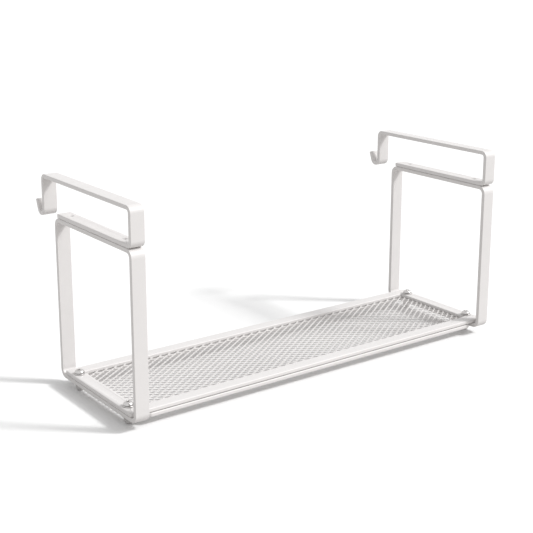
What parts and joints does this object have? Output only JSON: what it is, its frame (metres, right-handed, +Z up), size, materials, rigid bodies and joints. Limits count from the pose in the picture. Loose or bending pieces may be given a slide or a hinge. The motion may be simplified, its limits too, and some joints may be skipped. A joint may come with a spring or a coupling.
{
  "type": "over-board hanging shelf",
  "caption": "Hanging shelf of painted flat bar: side frames, over-board hooks and a tray with an expanded-metal floor.",
  "frame": {"origin": "centre of the part's box in plan, on the surface that the four cap nuts stand on", "axes": "+X along the shelf's length, +Y to its rear, where the hooks reach down behind a board, +Z up"},
  "size_m": [0.5, 0.2096, 0.2323],
  "materials": {
    "powder_coat": "satin white powder coat",
    "coated_mesh": "satin white powder coat over expanded metal",
    "plated_steel": "bright nickel or zinc plating"
  },
  "bodies": {
    "root": {"side_frame_left": "powder_coat", "side_frame_right": "powder_coat", "hook_left": "powder_coat", "hook_right": "powder_coat", "tray_frame": "powder_coat", "tray_rail_front": "powder_coat", "tray_rail_rear": "powder_coat", "mesh_upper_strands": "coated_mesh", "mesh_lower_strands": "coated_mesh", "tray_screw_left_front": "plated_steel", "tray_screw_left_rear": "plated_steel", "tray_screw_right_front": "plated_steel", "tray_screw_right_rear": "plated_steel", "tray_washer_left_front": "plated_steel", "tray_washer_left_rear": "plated_steel", "tray_washer_right_front": "plated_steel", "tray_washer_right_rear": "plated_steel", "foot_nut_left_front": "plated_steel", "foot_nut_left_rear": "plated_steel", "foot_nut_right_front": "plated_steel", "foot_nut_right_rear": "plated_steel", "hook_screw_left_front": "plated_steel", "hook_screw_left_rear": "plated_steel", "hook_screw_right_front": "plated_steel", "hook_screw_right_rear": "plated_steel"}
  },
  "joints": []
}
